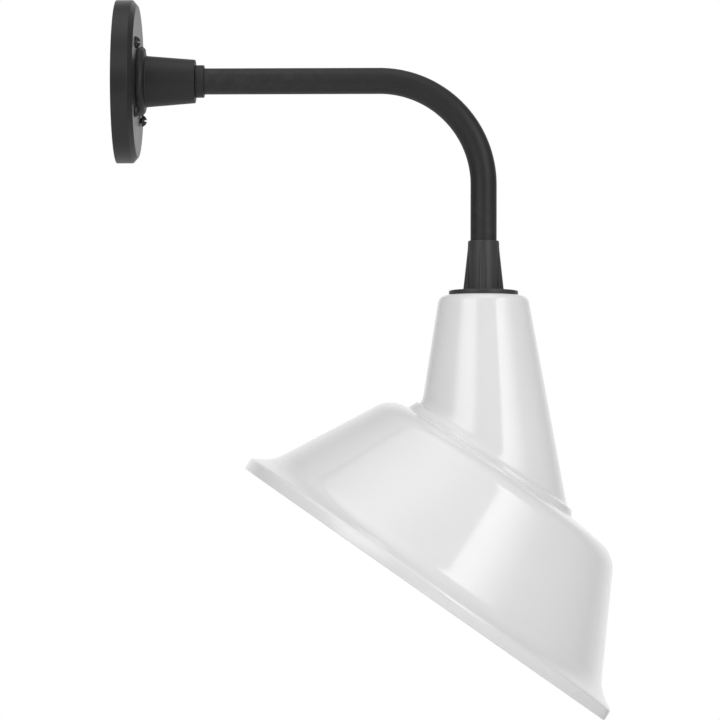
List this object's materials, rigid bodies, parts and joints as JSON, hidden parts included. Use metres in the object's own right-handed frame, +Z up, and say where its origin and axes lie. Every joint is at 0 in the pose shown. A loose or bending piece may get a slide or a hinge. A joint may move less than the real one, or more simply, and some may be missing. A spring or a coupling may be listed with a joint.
{
  "type": "barn light",
  "caption": "Wall light: a round canopy and hub carry a bent pipe arm, and a ribbed fitter holds a tilted dish shade on a long conical neck over a screw-in bulb.",
  "frame": {"origin": "centre of the canopy's back on the wall plane, which is also the middle of the outlet-box slots", "axes": "+X leaves the wall along the arm, +Z is up, and the shade tilts in the XZ plane, which is the light's plane of symmetry"},
  "size_m": [0.4061, 0.3556, 0.5859],
  "materials": {
    "canopy_black": "fine textured matte powder coat",
    "arm_black": "fine textured matte powder coat",
    "fitter_grey": "satin black powder coat on a casting",
    "screw_black": "black oxide",
    "enamel_white": "glossy white porcelain enamel",
    "gasket_rubber": "matte",
    "zinc_steel": "zinc plated, satin",
    "ground_green": "green passivated screw",
    "brass": "satin",
    "porcelain": "glazed white porcelain",
    "nylon": "natural nylon",
    "cable_sleeve": "woven glass-fibre sleeve",
    "lead_black": "smooth insulation",
    "lead_white": "smooth insulation",
    "lead_green": "smooth insulation",
    "connector_orange": "moulded",
    "bulb_glass": "soft white inside coating",
    "bulb_cap": "satin",
    "black_glass": "black insulating glass"
  },
  "bodies": {
    "wall_side": {"wall_gasket": "gasket_rubber", "mounting_plate": "zinc_steel", "ground_screw": "ground_green", "ground_terminal": "zinc_steel", "canopy": "canopy_black", "canopy_screws": "screw_black", "hub_gasket": "gasket_rubber", "wall_hub": "canopy_black", "hub_set_screw": "screw_black", "arm_collar": "arm_black", "arm": "arm_black", "arm_washer": "zinc_steel", "arm_locknut": "zinc_steel", "wall_bushing": "nylon", "end_bushing": "nylon", "arm_cable": "cable_sleeve", "lead_black": "lead_black", "lead_white": "lead_white", "lead_ground": "lead_green", "wire_connectors": "connector_orange"},
    "shade": {"fitter": "fitter_grey", "fitter_set_screw": "screw_black", "fitter_gasket": "gasket_rubber", "shade_neck": "enamel_white", "shade_dish": "enamel_white", "nipple": "brass", "nipple_washer": "zinc_steel", "nipple_locknut": "zinc_steel", "holder_bracket": "zinc_steel", "holder_screws": "zinc_steel", "lampholder": "porcelain", "screw_shell": "brass", "centre_contact": "brass", "shade_cable": "cable_sleeve", "holder_leads": "lead_black"},
    "bulb": {"bulb_contact": "zinc_steel", "bulb_insulator": "black_glass", "bulb_cap": "bulb_cap", "bulb_glass": "bulb_glass"}
  },
  "joints": [
    {"name": "shade_swivel", "type": "hinge", "parent": "wall_side", "child": "shade", "pos_m": [0.2991, 0, -0.1456], "axis": [0, 0, 1], "range_deg": [-175, 175]},
    {"name": "bulb_unscrew", "type": "slide", "parent": "shade", "child": "bulb", "axis": [0, 0, -1], "range_m": [0, 0.03]}
  ]
}
